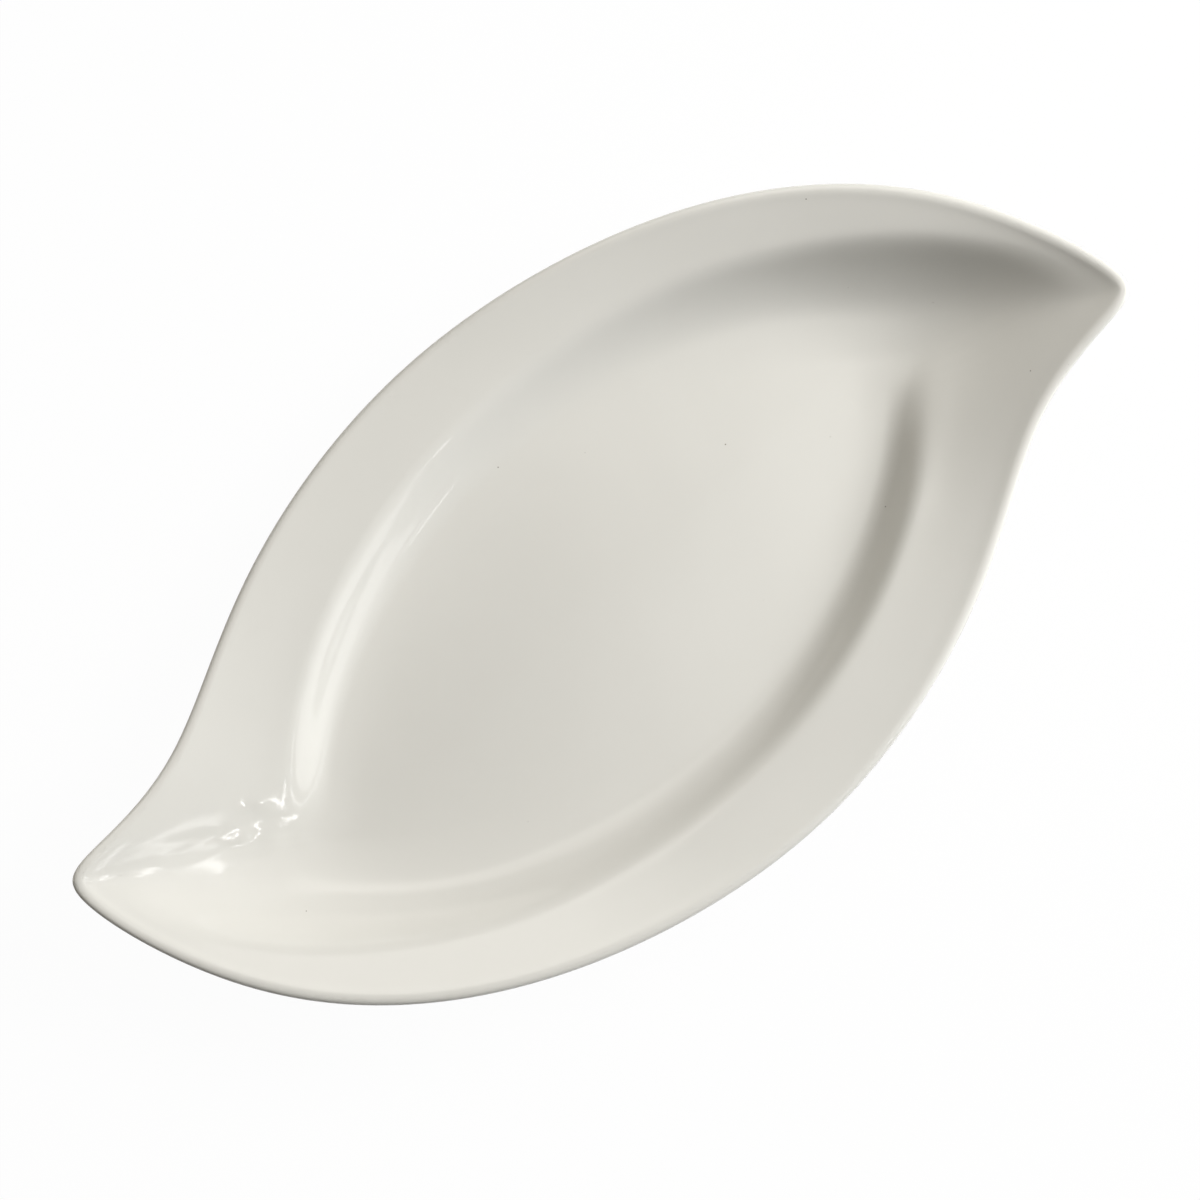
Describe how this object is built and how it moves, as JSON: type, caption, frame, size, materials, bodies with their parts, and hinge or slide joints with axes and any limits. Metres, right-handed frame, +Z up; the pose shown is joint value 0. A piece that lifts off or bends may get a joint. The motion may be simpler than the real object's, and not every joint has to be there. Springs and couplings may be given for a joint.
{
  "type": "fish platter",
  "caption": "Leaf-shaped swirled porcelain serving platter with raised tips, wide leaning rims, a lens-shaped well for a whole fish and an oval unglazed foot ring.",
  "frame": {"origin": "on the table, under the middle of the well", "axes": "+X along the line of the two tips, +Z up out of the well, +Y across the platter"},
  "size_m": [0.4602, 0.2474, 0.0506],
  "materials": {
    "glazed_porcelain": "clear gloss glaze over warm white porcelain, with faint waves and a few pin specks",
    "bare_porcelain": "unglazed, ground smooth, matte"
  },
  "bodies": {
    "root": {"platter_body": "glazed_porcelain", "foot_ring": "bare_porcelain"}
  },
  "joints": []
}
